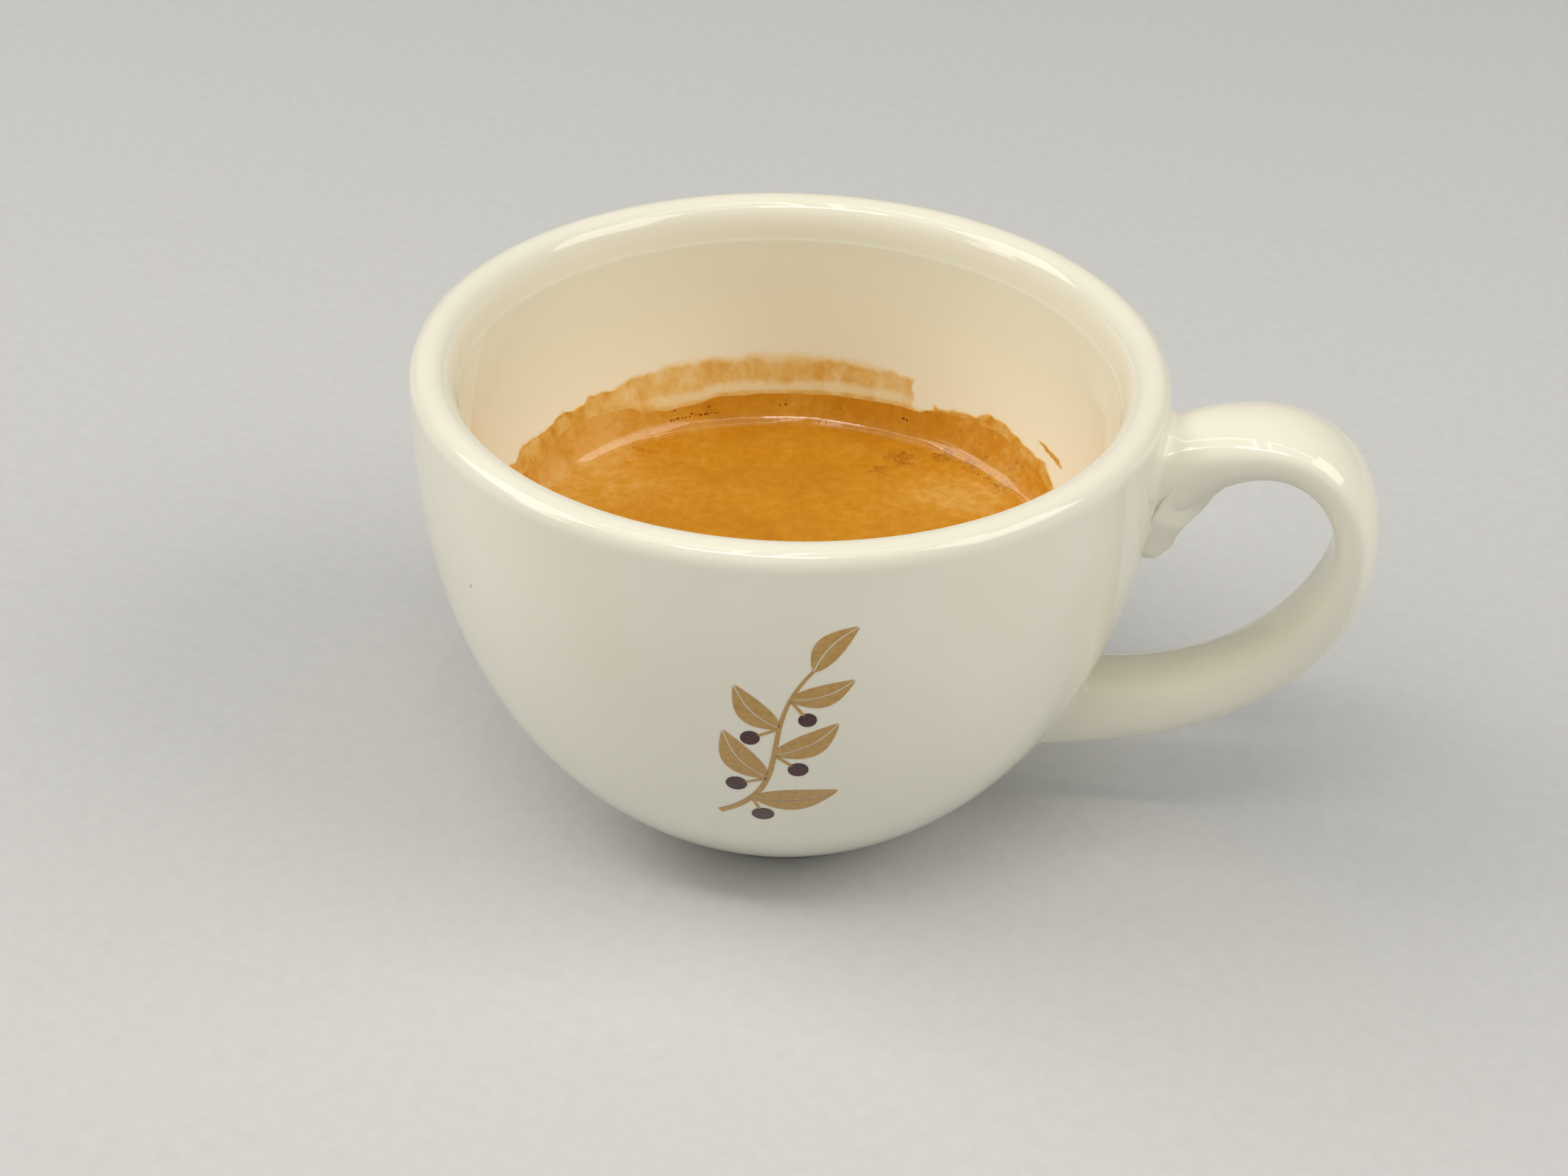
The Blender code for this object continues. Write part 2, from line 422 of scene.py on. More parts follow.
def handlePoint(along, angle):
    # A point of the handle's skin: along runs 0 to 1 round the loop, angle goes round its section
    half = 0 if along < 0.5 else 1
    t = along * 2 - half
    if half == 0:
        t = handleShape["start"] + (1 - handleShape["start"]) * t
    else:
        t *= handleShape["end"]
    outer, inner = (Vector(bezier(handleShape[side][half], t)) for side in ("outer", "inner"))
    widths = handleShape["widths"]
    width = widths[half] + (widths[half + 1] - widths[half]) * smoothStep(0, 1, t)
    power = 2 / handleShape["outerSquareness" if math.sin(angle) > 0 else "innerSquareness"]
    across = math.copysign(abs(math.cos(angle)) ** power, math.cos(angle))
    away = math.copysign(abs(math.sin(angle)) ** power, math.sin(angle))
    middle = outer + (inner - outer) * handleShape["widest"]  # widest nearer to the outer face
    spot = middle + ((outer if away > 0 else inner) - middle) * abs(away)
    return Vector((axisX + spot.x * mm, width / 2 * across * mm, spot.y * mm))


def addHandleSkin():
    # A grid wrapped round the handle's loop, closed along its seam and open at both ends
    sides = 2 * (handleRoots[0]["rows"] + handleRoots[0]["columns"])
    bpy.ops.mesh.select_all(action="DESELECT")
    bpy.ops.mesh.primitive_grid_add(x_subdivisions=sides, y_subdivisions=handleShape["stations"], size=1)
    cup = bpy.context.object
    mesh = bmesh.from_edit_mesh(cup.data)
    for vertex in mesh.verts:
        if vertex.select:
            vertex.co = handlePoint(vertex.co.y + 0.5, (vertex.co.x + 0.5) * 2 * math.pi)
    bmesh.update_edit_mesh(cup.data)
    bpy.ops.mesh.remove_doubles(threshold=0.005 * mm)


def bridgeRoot(isRoot):
    # Joins the wall's opening to the handle's open end by a blended throat
    bpy.ops.mesh.select_all(action="DESELECT")
    cup = bpy.context.object
    mesh = bmesh.from_edit_mesh(cup.data)
    for edge in mesh.edges:
        if edge.is_boundary and isRoot(edge.verts[0].co.z / mm):
            edge.select_set(True)
    bmesh.update_edit_mesh(cup.data)
    bpy.ops.mesh.bridge_edge_loops(number_cuts=2, interpolation="SURFACE", smoothness=0.9)


def makeCup():
    spinOutline(cupOutline(), cupShape["segments"])
    cup = bpy.context.object
    cup.name = "porcelain_cup"
    for root in handleRoots:
        openWall(root)
    addHandleSkin()
    between = (handleRoots[0]["bottom"] + handleRoots[1]["top"]) / 2
    bridgeRoot(lambda height: height > between)
    bridgeRoot(lambda height: height < between)
    finishMesh()
    applyModifier(cup, "SUBSURF", levels=1, render_levels=1)
    bpy.ops.object.shade_smooth()
    glaze, biscuit = makeGlaze(), makeBiscuit()
    # 1 in the bowl, where the inner wall's colour is painted lighter to stand in for light, and 0 under the
    # foot, which lies below the bowl's floor
    bowlLight = cup.data.attributes.new("bowlLight", "FLOAT", "POINT")
    near, far = cupShape["bowlLightEdge"]
    for vertex in cup.data.vertices:
        height = vertex.co.z / mm
        wall = innerRadius(min(max(height, 5.3), 42.0))
        depth = 1 - smoothStep(wall + near, wall + far, radiusOf(vertex.co)) if height > 4 else 0.0
        loss = cupShape["bowlLightLoss"] * smoothStep(*cupShape["bowlLightFade"], height)
        bowlLight.data[vertex.index].value = depth * (1 - loss)
    cup.data.materials.append(glaze)
    cup.data.materials.append(biscuit)
    for face in cup.data.polygons:  # the foot ring's underside is wiped bare before firing
        face.material_index = 1 if face.center.z < 0.07 * mm else 0
    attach(cup, "root")
    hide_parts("cup")
    return cup, glaze


def makeTongue(glaze):
    # A coarse grid laid over the corner under the root, along the outline one way and across the handle the
    # other, its rim sunk in the wall and the handle. Its few faces stay as facets when divided and eased
    shape = tongueShape
    dice = random.Random(4)
    deselectAll()
    rows, columns = shape["facets"]
    bpy.ops.mesh.primitive_grid_add(x_subdivisions=rows, y_subdivisions=columns, size=1)
    tongue = bpy.context.object
    tongue.name = "clay_tongue"
    last = len(shape["outline"]) - 1
    for vertex in tongue.data.vertices:
        rim = max(abs(vertex.co.x), abs(vertex.co.y)) > 0.49
        stray = (0.0, 0.0) if rim else (dice.uniform(-1, 1), dice.uniform(-1, 1))
        along = (vertex.co.x + 0.5) * last + shape["stray"][0] * stray[0]
        across = vertex.co.y * 2 + shape["stray"][1] * stray[1]
        step = min(int(along), last - 1)
        part = along - step
        outline, buried = (Vector(shape[key][step]).lerp(Vector(shape[key][step + 1]), part)
                           for key in ("outline", "buried"))
        halfWidth = shape["halfWidths"][step] * (1 - part) + shape["halfWidths"][step + 1] * part
        rise = (1 - min(abs(across), 1.0) ** shape["squareness"]) ** (1 / shape["squareness"])
        spot = buried + (outline - buried) * rise
        if not rim:
            spot += (outline - buried).normalized() * shape["jitter"] * dice.uniform(-1, 0.6)
        vertex.co = Vector((axisX + spot.x * mm, halfWidth * across * mm, spot.y * mm))
    applyModifier(tongue, "SUBSURF", subdivision_type="SIMPLE", levels=3, render_levels=3)
    applyModifier(tongue, "SMOOTH", factor=0.5, iterations=5)
    bpy.ops.object.mode_set(mode="EDIT")
    finishMesh()
    if sum(face.normal.x - face.normal.z for face in tongue.data.polygons) < 0:
        tongue.data.flip_normals()
    applyModifier(tongue, "SOLIDIFY", thickness=shape["thickness"] * mm, offset=-1)
    bpy.ops.object.shade_smooth()
    tongue.data.materials.append(glaze)
    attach(tongue, "root")


def makeGlaze():
    # Glazed porcelain: a pale warm body under a clear glossy glaze, which never lies quite flat, so that each
    # highlight has a soft wobbling edge. In the bowl the colour is painted lighter and a trace greener,
    # painted light that brightens the inner walls, and warmer towards the drink, painted light bounced up
    # from it. Here and there a tiny iron speck has fired brown
    material, onPiece = newMaterial("glazed_porcelain")
    cloud = addNode(material, "ShaderNodeTexNoise", {"Scale": perMm(14.0), "Detail": 3.0}, onPiece)
    ivory = addNode(material, "ShaderNodeValToRGB", links={"Fac": (cloud, "Fac")},
                    stops=((0.3, "EFECDC"), (0.7, "F3F0E2")))
    # Painted light: inside the bowl the colour is made lighter and a trace greener, to brighten the inner
    # walls
    bowlLight = addNode(material, "ShaderNodeAttribute", attribute_name="bowlLight")
    ivory = addNode(material, "ShaderNodeMix", {7: linear("F4FDF0")},
                    {0: (bowlLight, "Fac"), 6: (ivory, "Color")}, data_type="RGBA")
    # Painted light: lower down the bowl the colour turns warmer, standing in for light bounced up from the
    # drink
    parts = addNode(material, "ShaderNodeSeparateXYZ", links=onPiece)
    bouncedLight = addNode(material, "ShaderNodeMapRange",
                   {"From Min": 27 * mm, "From Max": 43 * mm, "To Min": 1.0, "To Max": 0.0},
                   {"Value": (parts, "Z")})
    bouncedLight = addNode(material, "ShaderNodeMath", links={0: (bouncedLight, "Result"), 1: (bowlLight, "Fac")},
                   operation="MULTIPLY")
    ivory = addNode(material, "ShaderNodeMix", {7: linear("F7F7E6")}, {0: (bouncedLight, 0), 6: (ivory, 2)},
                    data_type="RGBA")
    specks = addNode(material, "ShaderNodeTexVoronoi", {"Scale": perMm(7.0)}, onPiece)
    near = addNode(material, "ShaderNodeMapRange",
                   {"From Min": 0.012, "From Max": 0.026, "To Min": 1.0, "To Max": 0.0},
                   {"Value": (specks, "Distance")})
    parts = addNode(material, "ShaderNodeSeparateColor", links={"Color": (specks, "Color")})
    chosen = addNode(material, "ShaderNodeMath", {1: 0.9}, {0: (parts, "Red")}, operation="GREATER_THAN")
    iron = addNode(material, "ShaderNodeMath", links={0: (near, "Result"), 1: (chosen, 0)},
                   operation="MULTIPLY")
    colour = addNode(material, "ShaderNodeMix", {7: linear("A88A62")}, {0: (iron, 0), 6: (ivory, 2)},
                     data_type="RGBA")
    waves = addNode(material, "ShaderNodeTexNoise", {"Scale": perMm(3.2), "Detail": 2.0}, onPiece)
    soft = addNode(material, "ShaderNodeBump", {"Strength": 1.0, "Distance": 0.016 * mm},
                   {"Height": (waves, "Fac")})
    peel = addNode(material, "ShaderNodeTexNoise", {"Scale": perMm(0.7), "Detail": 1.0}, onPiece)
    fine = addNode(material, "ShaderNodeBump", {"Strength": 1.0, "Distance": 0.0012 * mm},
                   {"Height": (peel, "Fac"), "Normal": (soft, "Normal")})
    shader = addNode(material, "ShaderNodeBsdfPrincipled", {"Roughness": 0.07, "IOR": 1.5},
                     {"Base Color": (colour, 2), "Normal": (fine, "Normal")})
    addNode(material, "ShaderNodeOutputMaterial", links={"Surface": (shader, "BSDF")})
    return material


def makeBiscuit():
    # Unglazed porcelain: the wiped foot ring is chalky, a little grey and has no shine
    material, onPiece = newMaterial("porcelain_biscuit")
    grit = addNode(material, "ShaderNodeTexNoise", {"Scale": perMm(0.5), "Detail": 3.0}, onPiece)
    tint = addNode(material, "ShaderNodeValToRGB", links={"Fac": (grit, "Fac")},
                   stops=((0.3, "CFC6B4"), (0.7, "E0D8C8")))
    rough = addNode(material, "ShaderNodeBump", {"Distance": 0.02 * mm}, {"Height": (grit, "Fac")})
    shader = addNode(material, "ShaderNodeBsdfPrincipled", {"Roughness": 0.85},
                     {"Base Color": (tint, "Color"), "Normal": (rough, "Normal")})
    addNode(material, "ShaderNodeOutputMaterial", links={"Surface": (shader, "BSDF")})
    return material


# Drink, in mm: a flat top of crema, and a collar of foam that slopes up to the wall, wet at its foot. The
# flat's edge and the collar's top edge are lines of (degrees round the cup, mm from the axis or mm up)
drinkShape = {
    "level": 23.3,
    "flatRadius": 25.5,
    "slope": ((25.62, 23.32), (25.78, 23.38), (25.96, 23.51), (26.16, 23.69), (26.37, 23.9), (26.56, 24.14),
              (26.73, 24.41), (26.89, 24.7), (27.03, 25.0), (27.16, 25.3), (27.27, 25.6), (27.37, 25.87),
              (27.45, 26.08)),
    "collarTop": 26.15,
    "flatEdge": ((-180, 26.2), (0, 26.2), (28, 26.0), (45, 25.75), (60, 25.55), (76, 25.45), (125, 25.4),
                 (140, 25.5), (155, 25.8), (168, 26.1), (180, 26.2)),
    "collarEdge": ((-180, 26.8), (-140, 25.9), (-90, 26.3), (-40, 25.9), (0, 26.1), (25, 26.0), (35, 26.4),
                   (42, 27.0), (48, 27.4), (54, 27.7), (60, 27.5), (66, 27.2), (71, 26.9), (73, 26.3),
                   (80, 26.4), (90, 26.35), (103, 26.2), (117, 26.2), (121, 25.7), (128, 25.6), (134, 26.0),
                   (137, 26.9), (150, 27.6), (165, 27.3), (180, 26.8)),
    "flatWobble": 0.12,
    "edgeWobble": 0.12,
    "relief": 0.03,
    "flatShine": 0.16,
    "wetTop": 24.15,
    "sunk": 0.3,
    "underside": ((8.0, 4.9), (0.0, 4.9)),
    "segments": 256,
}


def drinkOutline():
    # Out over the flat, up the collar, and down again a little inside the cup's wall, so that no gap shows
    shape = drinkShape
    points = [(shape["flatRadius"] * i / 44, shape["level"]) for i in range(45)] + list(shape["slope"])
    for height in (shape["collarTop"], 22.0, 16.0, 10.0, 7.0, 5.6):
        points.append((innerRadius(height) + shape["sunk"], height))
    return points + list(shape["underside"])


def makeDrink():
    spinOutline(drinkOutline(), drinkShape["segments"])
    drink = bpy.context.object
    drink.name = "crema_topped_coffee"
    finishMesh()
    shape = drinkShape
    wet = drink.data.attributes.new("wet", "FLOAT", "POINT")  # 1 where the foam is wet enough to shine
    atLevel = innerRadius(shape["level"])
    for vertex in drink.data.vertices:
        spot = vertex.co
        height, radius = spot.z / mm, radiusOf(spot)
        if height < shape["level"] - 0.1:
            continue
        azimuth = azimuthOf(spot)
        edge = readCurve(shape["flatEdge"], azimuth) + shape["flatWobble"] * grain(spot, 2.6, 15.0)
        gap = innerRadius(height) - radius
        if radius <= shape["flatRadius"] + 0.01:
            radius *= edge / shape["flatRadius"]
        elif gap > 0:
            gap *= (atLevel - edge) / (atLevel - shape["flatRadius"])
            radius = innerRadius(height) - gap
        lift = readCurve(shape["collarEdge"], azimuth) - shape["collarTop"]
        lift += shape["edgeWobble"] * (grain(spot, 1.7) + 0.6 * grain(spot, 0.6, 3.0))
        lift *= smoothStep(24.0, 26.0, height)
        if lift:
            radius = innerRadius(height + lift) - gap
            height += lift
        shine = shape["flatShine"] + (1 - shape["flatShine"]) * smoothStep(edge - 0.6, edge + 0.1, radius)
        shine *= 1 - 0.9 * smoothStep(shape["wetTop"] - 0.25, shape["wetTop"] + 0.3,
                                      height + 0.1 * grain(spot, 1.2, 21.0))
        wet.data[vertex.index].value = shine
        ripple = 1 - 0.6 * smoothStep(23.5, 24.5, height)
        height += shape["relief"] * ripple * (grain(spot, 3.1, 5.0) + 0.45 * grain(spot, 1.1, 9.0))
        vertex.co = aroundAxis(azimuth, radius, height)
    bpy.ops.object.shade_smooth()
    paintDrink(drink)
    drink.data.materials.append(makeCrema())
    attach(drink, "root")
    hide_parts("espresso")
    return drink


# Where the crema is lighter or darker (patches on the flat, and painted light on the collar) or carries silt:
# degrees round the cup, mm from its axis, mm across, strength
cremaPatches = {
    # Lighter and darker patches on the flat, negative strengths darker; the last five, at 27.5 mm and more,
    # lie on the collar and are painted light from the sides
    "toneAndLight": ((50, 20.5, 9.0, 0.8), (155, 22.0, 9.0, 0.55), (30, 24.0, 7.0, 0.6), (-60, 14.0, 12.0, 0.4),
              (120, 6.0, 9.0, -0.35), (95, 16.0, 8.0, -0.25), (145, 27.5, 7.0, 1.4), (162, 27.5, 7.0, 1.3),
              (128, 27.5, 5.0, 0.6), (48, 27.6, 6.0, 0.7), (62, 27.6, 5.0, 0.5)),
    "silty": ((72, 22.6, 2.8, 1.5), (74, 19.4, 2.2, 1.1), (64, 25.3, 2.0, 1.5), (57, 25.8, 2.0, 1.1),
              (47, 26.0, 2.6, 1.1), (137, 24.4, 3.4, 0.7), (-130, 20.0, 3.0, 0.7), (-30, 23.0, 3.0, 0.6)),
}


def paintDrink(drink):
    # Two painted values on the crema's points, read by its material
    for name, patches in cremaPatches.items():
        layer = drink.data.attributes.new(name, "FLOAT", "POINT")
        spots = [(aroundAxis(turn, radius, 0), size, strength) for turn, radius, size, strength in patches]
        for vertex in drink.data.vertices:
            value = 0.0
            for middle, size, strength in spots:
                away = math.hypot(vertex.co.x - middle.x, vertex.co.y - middle.y) / (size / 2 * mm)
                value += strength * math.exp(-away * away * 0.8)
            layer.data[vertex.index].value = value


def makeCrema():
    # Crema: fine wet foam. Its oils give a soft gloss, and it is mottled because foam of more than one age
    # lies side by side, with silt of ground coffee caught in it
    material, onPiece = newMaterial("espresso_crema")
    broad = addNode(material, "ShaderNodeTexNoise",
                    {"Scale": perMm(6.5), "Detail": 5.0, "Roughness": 0.62, "Distortion": 0.8}, onPiece)
    fine = addNode(material, "ShaderNodeTexNoise",
                   {"Scale": perMm(1.1), "Detail": 4.0, "Roughness": 0.7}, onPiece)
    mixed = addNode(material, "ShaderNodeMath", {1: 0.46}, {0: (broad, "Fac")}, operation="MULTIPLY")
    mixed = addNode(material, "ShaderNodeMath", {1: 0.54}, {0: (fine, "Fac"), 2: (mixed, 0)},
                    operation="MULTIPLY_ADD")
    # Lighter or darker patches: on the flat a change of tone, on the collar painted light from the sides
    toneAndLight = addNode(material, "ShaderNodeAttribute", attribute_name="toneAndLight")
    mixed = addNode(material, "ShaderNodeMath", {1: 0.22}, {0: (toneAndLight, "Fac"), 2: (mixed, 0)},
                    operation="MULTIPLY_ADD")
    tone = addNode(material, "ShaderNodeValToRGB", links={"Fac": (mixed, 0)},
                   stops=((0.3, "BA7A15"), (0.5, "CA881C"), (0.62, "D1932E"), (0.8, "DDA957")))
    silty = addNode(material, "ShaderNodeAttribute", attribute_name="silty")
    grit = addNode(material, "ShaderNodeTexNoise", {"Scale": perMm(0.75), "Detail": 4.0, "Roughness": 0.65},
                   onPiece)
    silt = addNode(material, "ShaderNodeMath", {1: 0.22}, {0: (silty, "Fac"), 2: (grit, "Fac")},
                   operation="MULTIPLY_ADD")
    silt = addNode(material, "ShaderNodeMapRange", {"From Min": 0.64, "From Max": 0.84, "To Max": 0.6},
                   {"Value": (silt, 0)})
    colour = addNode(material, "ShaderNodeMix", {7: linear("91500A")},
                     {0: (silt, "Result"), 6: (tone, "Color")}, data_type="RGBA")
    bubbles = addNode(material, "ShaderNodeTexVoronoi", {"Scale": perMm(0.32)}, onPiece)
    pits = addNode(material, "ShaderNodeBump", {"Strength": 0.6, "Distance": 0.006 * mm},
                   {"Height": (bubbles, "Distance")})
    skin = addNode(material, "ShaderNodeBump", {"Strength": 0.7, "Distance": 0.03 * mm},
                   {"Height": (fine, "Fac"), "Normal": (pits, "Normal")})
    wet = addNode(material, "ShaderNodeAttribute", attribute_name="wet")
    shader = addNode(material, "ShaderNodeBsdfPrincipled",
                     {"Roughness": 0.55, "IOR": 1.33, "Specular IOR Level": 0.15,
                      "Coat Roughness": 0.07, "Coat IOR": 1.47},
                     {"Base Color": (colour, 2), "Normal": (skin, "Normal"), "Coat Weight": (wet, "Fac"),
                      "Coat Normal": (pits, "Normal")})
    addNode(material, "ShaderNodeOutputMaterial", links={"Surface": (shader, "BSDF")})
    return material


# Dried film above the collar: lines of (degrees round the cup, value). The edge is a height in mm, the
# softness is how far it fades, and the strength is how much coffee it holds
filmShape = {
    "edge": ((-180, 27.4), (-150, 27.0), (-100, 27.6), (-60, 27.0), (0, 27.0), (25, 26.3), (33, 26.4),
             (42, 27.4), (50, 28.1), (54, 28.5), (63, 27.8), (70.5, 27.2), (71.5, 26.4), (74.5, 26.4),
             (75.4, 29.3), (82, 29.8), (89, 30.2), (103, 30.5), (118, 30.4), (126, 30.1), (134, 29.6),
             (143, 29.2), (152, 28.7), (161, 28.3), (172, 27.9), (180, 27.4)),
    "softness": ((-180, 0.5), (0, 0.5), (35, 0.3), (70, 0.3), (76, 0.4), (88, 1.0), (105, 1.5), (120, 1.0),
                 (133, 0.5), (145, 0.2), (170, 0.2), (180, 0.5)),
    "strength": ((-180, 0.35), (-90, 0.3), (0, 0.4), (30, 0.6), (50, 0.64), (70, 0.66), (74, 0.3),
                 (76, 0.48), (90, 0.5), (110, 0.48), (128, 0.5), (140, 0.55), (155, 0.62), (170, 0.6),
                 (180, 0.35)),
    "crust": ((-180, 0.1), (0, 0.1), (35, 0.2), (70, 0.2), (76, 0.08), (110, 0.0), (130, 0.1), (145, 0.28),
              (172, 0.3), (180, 0.1)),
    "paleGap": ((-180, 0.0), (70, 0.0), (75, 0.4), (80, 0.6), (115, 0.6), (128, 0.4), (138, 0.15),
                (146, 0.0)),
    "nearCollar": 0.08,
    "bareBelow": 0.03,
    "fleck": {"azimuth": 37.6, "height": 28.6, "length": 4.6, "width": 0.5, "lean": -0.1},
    "lowest": 25.0,
    "highest": 32.0,
    "rowStep": 0.12,
    "columnStep": 0.3,
    "lift": 0.012,
    "thickness": 0.03,
}


def filmAt(azimuth, height, spot):
    # How much dried coffee lies at a place on the wall: 0 none, 0.5 a thin film, 1 and more a dark crust
    shape = filmShape
    azimuth += 1.3 * grain(spot, 1.1, 29.0)
    ragged = 0.55 * grain(spot, 2.3, 1.0) + 0.4 * grain(spot, 1.0, 4.0)
    softness = readCurve(shape["softness"], azimuth)
    below = readCurve(shape["edge"], azimuth) + ragged * 0.7 - height
    body = smoothStep(0.0, softness, below)
    mottle = 1 + 0.3 * grain(spot, 1.7, 11.0) + 0.2 * grain(spot, 0.9, 13.0)
    streaks = 1 + 0.2 * noise.noise(Vector((azimuth * 0.35, height * 0.2, 3.0)))
    streaks += 0.18 * noise.noise(Vector((azimuth * 0.85, height * 0.3, 7.0)))
    value = readCurve(shape["strength"], azimuth) * body * mottle * streaks
    collar = readCurve(drinkShape["collarEdge"], azimuth)
    above = height - collar
    gap = smoothStep(-0.1, 0.3, above) * (1 - smoothStep(0.6, 1.4, above + 0.4 * ragged))
    paleGap = readCurve(shape["paleGap"], azimuth)
    value *= 1 - paleGap * gap
    value += shape["nearCollar"] * (1 - paleGap) * body * math.exp(-(max(above, 0.0) / 0.5) ** 2)
    edgeLine = math.exp(-((below - 0.1) / 0.14) ** 2)
    value += readCurve(shape["crust"], azimuth) * edgeLine * (0.7 + 0.9 * grain(spot, 0.7, 17.0))
    fleck = shape["fleck"]
    along = math.radians(azimuth - fleck["azimuth"]) * 28.0
    across = height - fleck["height"] + fleck["lean"] * along + 0.12 * grain(spot, 0.8, 19.0)
    inFleck = (along / (fleck["length"] / 2)) ** 2 + (across / (fleck["width"] / 2)) ** 2
    value = max(value, 0.8 * (1 - smoothStep(0.5, 1.3, inFleck + 0.5 * grain(spot, 0.5, 23.0))))
    return value


def makeFilm(cup):
    deselectAll()
    shape = filmShape
    columns = int(360 / shape["columnStep"])
    rows = int((shape["highest"] - shape["lowest"]) / shape["rowStep"])
    bpy.ops.mesh.primitive_grid_add(x_subdivisions=columns, y_subdivisions=rows, size=1)
    film = bpy.context.object
    film.name = "dried_coffee_film"
    skin = BVHTree.FromObject(cup, bpy.context.evaluated_depsgraph_get())
    values = {}
    for vertex in film.data.vertices:
        azimuth = vertex.co.x * 360
        height = shape["lowest"] + (vertex.co.y + 0.5) * (shape["highest"] - shape["lowest"])
        centre = Vector((axisX, 0, height * mm))
        outward = (aroundAxis(azimuth, 1.0, height) - centre).normalized()
        hit = skin.ray_cast(centre, outward)
        value = filmAt(azimuth, height, aroundAxis(azimuth, 28.0, height))
        lift = shape["lift"] + shape["thickness"] * min(value, 1.2)
        vertex.co = hit[0] - outward * lift * mm
        values[vertex.index] = value
    layer = film.data.attributes.new("coffee", "FLOAT", "POINT")
    for index, value in values.items():
        layer.data[index].value = value
    makeActive(film)
    bpy.ops.object.mode_set(mode="EDIT")
    bpy.ops.mesh.select_all(action="SELECT")
    bpy.ops.mesh.remove_doubles(threshold=0.002 * mm)
    bpy.ops.mesh.select_all(action="DESELECT")
    mesh = bmesh.from_edit_mesh(film.data)
    coffee = mesh.verts.layers.float["coffee"]
    for face in mesh.faces:
        if max(vertex[coffee] for vertex in face.verts) < shape["bareBelow"]:
            face.select_set(True)
    bmesh.update_edit_mesh(film.data)
    bpy.ops.mesh.delete(type="FACE")
    bpy.ops.mesh.select_all(action="SELECT")
    bpy.ops.mesh.normals_make_consistent(inside=True)
    bpy.ops.object.mode_set(mode="OBJECT")
    bpy.ops.object.shade_smooth()
    film.data.materials.append(makeDriedCoffee())
    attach(film, "root")
    return film


def makeDriedCoffee():
    # Dried coffee on glaze: a thin tan stain where it ran off, and a dark beaded crust where it dried last.
    # With no coffee it has the colour of the glaze in the bowl, painted light included, so the film fades out
    # on the wall
    material, onPiece = newMaterial("dried_coffee")
    coffee = addNode(material, "ShaderNodeAttribute", attribute_name="coffee")
    grit = addNode(material, "ShaderNodeTexNoise", {"Scale": perMm(0.45), "Detail": 3.0}, onPiece)
    uneven = addNode(material, "ShaderNodeMapRange",
                     {"From Min": 0.25, "From Max": 0.75, "To Min": 0.88, "To Max": 1.12},
                     {"Value": (grit, "Fac")})
    amount = addNode(material, "ShaderNodeMath", links={0: (coffee, "Fac"), 1: (uneven, "Result")},
                     operation="MULTIPLY")
    amount = addNode(material, "ShaderNodeMath", {1: 0.8}, {0: (amount, 0)}, operation="MULTIPLY")
    colour = addNode(material, "ShaderNodeValToRGB", links={"Fac": (amount, 0)},
                     stops=((0.0, "F6F7E9"), (0.12, "F3E7C2"), (0.4, "E8C479"), (0.62, "D8A244"),
                            (0.8, "BF8229"), (1.0, "8E5C18")))
    crust = addNode(material, "ShaderNodeBump", {"Strength": 0.6, "Distance": 0.02 * mm},
                    {"Height": (amount, 0)})
    shader = addNode(material, "ShaderNodeBsdfPrincipled", {"Roughness": 0.16, "IOR": 1.5},
                     {"Base Color": (colour, "Color"), "Normal": (crust, "Normal")})
    addNode(material, "ShaderNodeOutputMaterial", links={"Surface": (shader, "BSDF")})
    return material


# Fine grounds: each run goes between two places given as degrees round the cup and either mm from the axis,
# on the crema, or mm up, on the collar; with how many grains, how far they stray in mm and their size in mm
groundRuns = (
    ("collar", (128.5, 24.35), (117.0, 24.45), 16, 0.12, 0.3),
    ("collar", (126.8, 25.2), (126.6, 25.1), 2, 0.1, 0.28),
    ("collar", (119.3, 25.1), (119.0, 25.0), 1, 0.0, 0.34),
    ("collar", (104.4, 24.8), (101.8, 24.9), 2, 0.0, 0.3),
    ("collar", (90.7, 24.9), (90.5, 24.9), 1, 0.0, 0.32),
    ("collar", (77.0, 25.1), (75.0, 25.0), 2, 0.05, 0.34),
    ("crema", (112.1, 18.3), (112.1, 18.3), 1, 0.0, 0.32),
    ("crema", (76.0, 24.2), (68.0, 22.4), 12, 0.7, 0.2),
    ("crema", (75.5, 19.6), (72.0, 19.0), 6, 0.5, 0.2),
    ("crema", (67.0, 25.4), (62.5, 25.2), 9, 0.3, 0.24),
    ("crema", (58.0, 25.3), (44.0, 25.2), 16, 0.3, 0.2),
    ("crema", (139.0, 24.6), (134.0, 23.0), 6, 0.8, 0.18),
    ("crema", (-175.0, 12.0), (-5.0, 12.0), 22, 8.0, 0.2),
    ("crema", (20.0, 10.0), (150.0, 10.0), 9, 6.0, 0.16),
)


